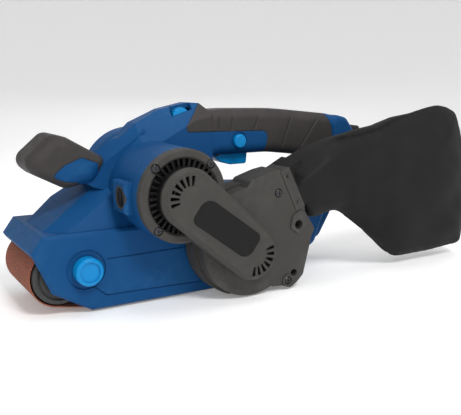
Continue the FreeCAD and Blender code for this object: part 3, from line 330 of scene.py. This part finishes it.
def soft_touch(name, colour):
    """Rubbery overmould with a fine pebbled skin."""
    surface = Surface(name, colour, 0.66, specular=0.25)
    surface.round_edges()
    surface.tint(surface.noise(20 * MM, 4), darker(colour, 0.06))
    surface.vary_roughness(surface.noise(6 * MM, 4), 0.55, 0.72)
    surface.bump(surface.cells(0.7 * MM), 0.06 * MM)
    surface.bump(surface.noise(0.3 * MM, 2), 0.03 * MM)
    # painted highlight along edges that stick out
    surface.painted_edge_highlight(lighter(colour, 0.08))
    return surface.material


def metal(name, colour, roughness, grain=0.6 * MM, depth=0.02 * MM):
    """Bare metal with small scratches."""
    surface = Surface(name, colour, roughness, metallic=1.0)
    surface.tint(surface.noise(10 * MM, 4), darker(colour, 0.15))
    scratches = surface.noise(grain, 4)
    surface.vary_roughness(scratches, max(0.05, roughness - 0.1), roughness + 0.1)
    surface.bump(scratches, depth)
    return surface.material


def wound_copper():
    surface = Surface("copper", COPPER, 0.3, metallic=1.0)
    wires = surface.waves(0.8 * MM, "X")
    surface.tint(wires, COPPER_GAP, 0.0, 0.5)
    surface.bump(wires, 0.3 * MM)
    return surface.material


def laminated_steel():
    surface = Surface("laminations", SHEET_STEEL, 0.45, metallic=1.0)
    sheets = surface.waves(0.6 * MM, "Y")
    surface.tint(sheets, SHEET_GAP, 0.0, 0.6)
    surface.bump(sheets, 0.1 * MM)
    return surface.material


def abrasive_cloth():
    """Aluminium oxide grains on a brown cloth."""
    surface = Surface("abrasive", GRIT_BROWN, 0.85, specular=0.2)
    surface.tint(surface.noise(20 * MM, 4), darker(GRIT_BROWN, 0.12))
    grains = surface.cells(0.9 * MM)
    surface.tint(grains, lighter(GRIT_BROWN, 0.12), 0.1, 0.9)
    surface.tint(surface.noise(1.2 * MM, 2), darker(GRIT_BROWN, 0.4), 0.52, 0.7)
    surface.bump(grains, -0.3 * MM)
    return surface.material


def woven(name, colour, thread):
    """Plain-weave synthetic cloth that lies mostly upright along X."""
    surface = Surface(name, colour, 0.85, specular=0.15)
    surface.tint(surface.noise(40 * MM, 3), lighter(colour, 0.02))
    weave = surface.product(surface.waves(thread, "X"), surface.waves(thread, "Z"))
    surface.tint(weave, lighter(colour, 0.05), 0.2, 1.0)
    surface.bump(weave, 0.1 * MM)
    surface.bump(surface.noise(0.4 * MM, 3), 0.04 * MM)
    surface.set("Sheen Weight", 0.04)
    surface.set("Sheen Roughness", 0.4)
    return surface.material


def make_materials():
    return {
        "blue_plastic": moulded("blue_plastic", BLUE, specular=0.12),
        "control_blue": moulded("control_blue", LIGHT_BLUE, roughness=0.35),
        "dark_plastic": moulded("dark_plastic", DARK_GREY),
        "black_plastic": moulded("black_plastic", VENT_BLACK, roughness=0.45),
        "panel_black": moulded("panel_black", PANEL_BLACK, roughness=0.5),
        "soft_grip": soft_touch("soft_grip", GRIP_GREY),
        "black_rubber": soft_touch("black_rubber", RUBBER_BLACK),
        "roller_rubber": soft_touch("roller_rubber", TYRE_GREY),
        "roller_grey": moulded("roller_grey", ROLLER_GREY, roughness=0.4),
        "cast_metal": metal("cast_metal", ALUMINIUM, 0.5, grain=1 * MM, depth=0.1 * MM),
        "steel": metal("steel", STEEL, 0.3),
        "bearing_steel": metal("bearing_steel", POLISHED_STEEL, 0.18),
        "copper": wound_copper(),
        "brass": metal("brass", BRASS, 0.3),
        "graphite": soft_touch("graphite", GRAPHITE),
        "abrasive": abrasive_cloth(),
        "belt_cloth": woven("belt_cloth", CLOTH_BROWN, 0.5 * MM),
        "screw_dark": metal("screw_dark", DARK_STEEL, 0.35),
        "thread": woven("thread", THREAD_GREY, 0.4 * MM),
        "bag_fabric": woven("bag_fabric", BAG_BLACK, 0.7 * MM),
        "board_green": moulded("board_green", BOARD_GREEN, roughness=0.4),
        "laminations": laminated_steel(),
    }


# nodes that don't look like their record slot
OWN_MATERIAL = {
    "cover_panel": "panel_black", "front_roller": "roller_grey", "motor_stator": "laminations",
    "armature_core": "laminations", "ring_screws": "screw_dark", "volute_screws": "screw_dark",
    "roller_bushes": "roller_grey", "trigger_pin": "screw_dark", "dial_pin": "screw_dark",
    "adaptor_pins": "screw_dark", "bag_collar": "bag_fabric",
}


def paint_nodes():
    for part in frame["record"]["subparts"]:
        name = OWN_MATERIAL.get(part["node"], part["material_slot"])
        mesh = NODES[part["node"]].data
        mesh.materials.clear()
        mesh.materials.append(MATERIALS[name])


# ------------------------------------------------------ pieces that replace plain CAD solids
SOFTEN_SHARE = 0.5                      # how far each smoothing round goes
GRIP_VOXEL = 0.66 * MM
GRIP_ROUNDS = 2                         # smoothing rounds

BELT_MERGE = 1e-6                       # vertices closer than this are one
BELT_CROSSING = 70 * MM                 # edges longer than this cross the belt
BELT_CUTS = 36
BELT_RIM = 37.4 * MM                    # beyond this a vertex lies on the belt's rim
BELT_WAVE = 0.2 * MM                    # how far the rim waves
BELT_WAVE_RATE = 180
BELT_BROAD = 0.5                        # normals of broad faces lean less than this along Y
BELT_SHARP = math.radians(40)


def copy_of(node, name):
    """A free copy of a CAD node's mesh."""
    mesh = NODES[node].data.copy()
    mesh.name = name
    return new_object(name, mesh)


def apply_modifiers(piece):
    graph = bpy.context.evaluated_depsgraph_get()
    shaped = bpy.data.meshes.new_from_object(piece.evaluated_get(graph))
    piece.modifiers.clear()
    piece.data = shaped
    piece.data.shade_smooth()


def soften(piece, rounds):
    smooth = piece.modifiers.new("smooth", "SMOOTH")
    smooth.factor = SOFTEN_SHARE
    smooth.iterations = rounds


def even_skin(piece, voxel, rounds):
    """Rebuild the mesh from small even faces and round its edges."""
    remesh = piece.modifiers.new("remesh", "REMESH")
    remesh.mode = "VOXEL"
    remesh.voxel_size = voxel
    soften(piece, rounds)
    apply_modifiers(piece)


def dress(piece, body, slot, names, *nodes):
    """Give the piece its materials and body, in place of the CAD nodes. The record slot it is
    passed is not used.
    """
    piece.data.materials.clear()
    for name in names:
        piece.data.materials.append(MATERIALS[name])
    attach(piece, body)
    if nodes:
        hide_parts(*nodes)


def make_grips():
    for node in ("front_grip", "handle_grip"):
        grip = copy_of(node, node + "_skin")
        even_skin(grip, GRIP_VOXEL, GRIP_ROUNDS)
        dress(grip, "root", "soft_grip", ["soft_grip"], node)


def make_sanding_belt():
    """Belt with grit on its outside, cloth on its inside and slightly wavy edges."""
    belt = copy_of("sanding_belt", "abrasive_belt")
    build = bmesh.new()
    build.from_mesh(belt.data)
    bmesh.ops.remove_doubles(build, verts=build.verts, dist=BELT_MERGE)
    crossing = [edge for edge in build.edges
                if abs(edge.verts[0].co.y - edge.verts[1].co.y) > BELT_CROSSING]
    bmesh.ops.subdivide_edges(build, edges=crossing, cuts=BELT_CUTS, use_grid_fill=True)
    middle = sum((vert.co for vert in build.verts), Vector()) / len(build.verts)
    for vert in build.verts:
        if abs(vert.co.y) > BELT_RIM:
            vert.co.y += BELT_WAVE * noise.noise(vert.co * BELT_WAVE_RATE)
    build.normal_update()
    grit, cloth = 0, 1
    for face in build.faces:
        broad = abs(face.normal.y) < BELT_BROAD
        outward = face.normal.dot(face.calc_center_median() - middle) > 0
        face.material_index = grit if outward and broad else cloth
        face.smooth = broad
    build.to_mesh(belt.data)
    build.free()
    belt.data.set_sharp_from_angle(angle=BELT_SHARP)
    dress(belt, "belt", "abrasive", ["abrasive", "belt_cloth"], "sanding_belt")


# ------------------------------------------------------ dust bag, in millimetres
BAG_SEAM = [                            # x and z along the seam, once round from the neck
    (127, 111), (150, 126), (171, 133), (194, 135), (226, 142), (257, 151), (290, 160),
    (312, 164.5), (326, 162), (334.5, 154), (344, 130), (351, 108), (356, 76), (357.5, 44),
    (356.5, 22), (352, 11.5), (330, 9.5), (306, 9), (280, 9.5), (258, 10), (246, 13), (234, 22),
    (210, 43.5), (190, 58), (172, 66.5), (156, 66), (144, 71),
]
BAG_MIDDLE_Y = -61.0
BAG_VOXEL = 3.2
BAG_ROUNDS, BAG_LAST_ROUNDS = 6, 3      # smoothing before and after the shaping
BAG_HALF = 20.0                         # half of the filled bag's thickness
BAG_RIM_HALF = 0.7                      # half of its thickness at the seam
BAG_FILL_REACH = 62.0                   # distance from the seam to the bag's full thickness
PLAIN_HALF, PLAIN_RIM_HALF = 23.0, 11.0   # the same halves of the solid it starts from
NECK_HALF = 15.6                        # half of the neck's thickness
NECK_PULL = 11.3                        # how far the fabric reaches over its collar
NECK_CALM = 0.6                         # share of the relief that the neck takes away
SIGN_SPREAD = 0.6                       # share of the thickness over which the panels part
OUTLET_TURN = math.radians(27.3)        # how much the dust outlet climbs

# where a shape sets in or fades, as distances from the collar
NECK_RANGE = (24, 66)
SAG_RANGE = (30, 70)
GATHER_RISE, GATHER_FADE = (14, 34), (60, 125)
PUCKER_RANGE = (30, 60)
# and as distances from the seam, heights above the floor and distances from the neck's end
FOLD_SEAM_RANGE, PUCKER_SEAM_RANGE = (4, 30), (2, 15)
SAG_HEIGHTS = (60, 130)
PULL_RANGE = (1, 20)

SAG_WAVES = ((0.9, 0.055, 0), (0.6, 0.13, 1))       # depth, rate and shift
FOLD_DEPTH, RIPPLE_DEPTH, PUCKER_DEPTH = 4.0, 1.2, 0.55
FOLD_ALONG, FOLD_UP, FOLD_LEAN = 0.010, 0.024, 0.008
RIPPLE_ALONG, RIPPLE_UP, RIPPLE_LEAN = 0.045, 0.05, 0.02
FOLD_LAYERS, RIPPLE_LAYERS = (9.0, 3.0), (27.0, 20.0)   # noise layers: near and far panel
PUCKER_RATE, PUCKER_LEAN = 0.52, 1.7
GATHER_RATE = 34                        # per radian
GATHER_AHEAD, GATHER_ABOVE = 40, 6      # where the gathers start, seen from the collar

PIPING_RADIUS = 0.75
PIPING_INSET = 1.1


def seam_distance(x, z):
    """Distance from a point in the bag's side view to the nearest stretch of seam."""
    spot = Vector((x, z))
    distances = []
    for start, end in zip(BAG_SEAM, BAG_SEAM[1:]):
        a, b = Vector(start), Vector(end)
        share = max(0.0, min(1.0, (spot - a).dot(b - a) / (b - a).length_squared))
        distances.append((spot - a.lerp(b, share)).length)
    return min(distances)


def ease(value, low, high):
    """0 up to low, 1 from high, and a smooth rise between them."""
    share = max(0.0, min(1.0, (value - low) / (high - low)))
    return share * share * (3 - 2 * share)


def bag_sag(x, z, reach):
    """How far the bag's fabric droops or rises at a point of its side view."""
    wave = sum(depth * math.sin(x * rate + shift) for depth, rate, shift in SAG_WAVES)
    return wave * ease(z, *SAG_HEIGHTS) * ease(reach, *SAG_RANGE)


def bag_relief(x, z, far, distance, collar, reach):
    """How far folds, ripples, gathers and puckers move one panel of the bag."""
    folds = noise.noise(Vector((x * FOLD_ALONG, z * FOLD_UP - x * FOLD_LEAN,
                                FOLD_LAYERS[far])))
    ripples = noise.noise(Vector((x * RIPPLE_ALONG + z * RIPPLE_LEAN, z * RIPPLE_UP,
                                  RIPPLE_LAYERS[far])))
    fan = math.atan2(z - collar.z - GATHER_ABOVE, x - collar.x + GATHER_AHEAD)
    gather = math.sin(fan * GATHER_RATE) * ease(reach, *GATHER_RISE)
    gather *= 1 - ease(reach, *GATHER_FADE)
    pucker = math.sin((x + PUCKER_LEAN * z) * PUCKER_RATE)
    pucker *= (1 - ease(distance, *PUCKER_SEAM_RANGE)) * ease(reach, *PUCKER_RANGE)
    return (FOLD_DEPTH * folds * ease(distance, *FOLD_SEAM_RANGE)
            + RIPPLE_DEPTH * ripples + gather + PUCKER_DEPTH * pucker)


def make_bag_piping(collar):
    """Thin cord sewn round the bag's rim."""
    curve = bpy.data.curves.new("bag_piping", "CURVE")
    curve.dimensions = "3D"
    curve.bevel_depth = PIPING_RADIUS * MM
    curve.bevel_resolution = 3
    line = curve.splines.new("NURBS")
    spots = BAG_SEAM[1:-1]
    line.points.add(len(spots) - 1)
    for i, (x, z) in enumerate(spots):
        along = Vector(BAG_SEAM[i + 2]) - Vector(BAG_SEAM[i])
        inward = Vector((along.y, -along.x)).normalized() * PIPING_INSET
        rise = bag_sag(x, z, math.hypot(x - collar.x, z - collar.z))
        line.points[i].co = ((x + inward.x) * MM, BAG_MIDDLE_Y * MM,
                             (z + inward.y + rise) * MM, 1)
    line.order_u = 3
    line.use_endpoint_u = True
    line.resolution_u = 10
    dress(new_object("bag_piping", curve), "bag", "bag_fabric", ["thread"])


def make_dust_bag():
    """Two fabric panels, sewn along their rim and gathered on the collar."""
    bag = copy_of("dust_bag", "fabric_bag")
    even_skin(bag, BAG_VOXEL * MM, BAG_ROUNDS)
    collar_low, collar_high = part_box("bag_collar")
    collar = (collar_low + collar_high) / 2 / MM
    outlet = Vector((math.cos(OUTLET_TURN), 0, math.sin(OUTLET_TURN)))
    neck_end = min((vert.co / MM - collar).dot(outlet) for vert in bag.data.vertices)
    for vert in bag.data.vertices:
        x, y, z = vert.co / MM
        side = y - BAG_MIDDLE_Y
        distance = seam_distance(x, z)
        reach = math.hypot(x - collar.x, z - collar.z)
        neck = 1 - ease(reach, *NECK_RANGE)
        plain = min(PLAIN_HALF, PLAIN_RIM_HALF + distance)
        short = 1 - min(distance / BAG_FILL_REACH, 1)
        swell = BAG_HALF * math.sqrt(max(0.0, 1 - short ** 2)) + BAG_RIM_HALF
        half = swell * (1 - neck) + NECK_HALF * neck
        relief = bag_relief(x, z, side > 0, distance, collar, reach)
        sign = max(-1.0, min(1.0, side / (SIGN_SPREAD * plain)))
        moved = side / plain * half + sign * relief * (1 - NECK_CALM * neck)
        vert.co.y = (BAG_MIDDLE_Y + moved) * MM
        vert.co.z += bag_sag(x, z, reach) * MM
        along = (vert.co / MM - collar).dot(outlet) - neck_end
        vert.co -= outlet * NECK_PULL * (1 - ease(along, *PULL_RANGE)) * MM
    bag.data.update()
    soften(bag, BAG_LAST_ROUNDS)
    divide = bag.modifiers.new("divide", "SUBSURF")
    divide.levels = divide.render_levels = 1
    apply_modifiers(bag)
    dress(bag, "bag", "bag_fabric", ["bag_fabric"], "dust_bag")
    make_bag_piping(collar)


make_camera()
make_lights()
make_floor()
MATERIALS = make_materials()
paint_nodes()
make_grips()
make_sanding_belt()
make_dust_bag()

bpy.context.scene.view_settings.view_transform = "Standard"
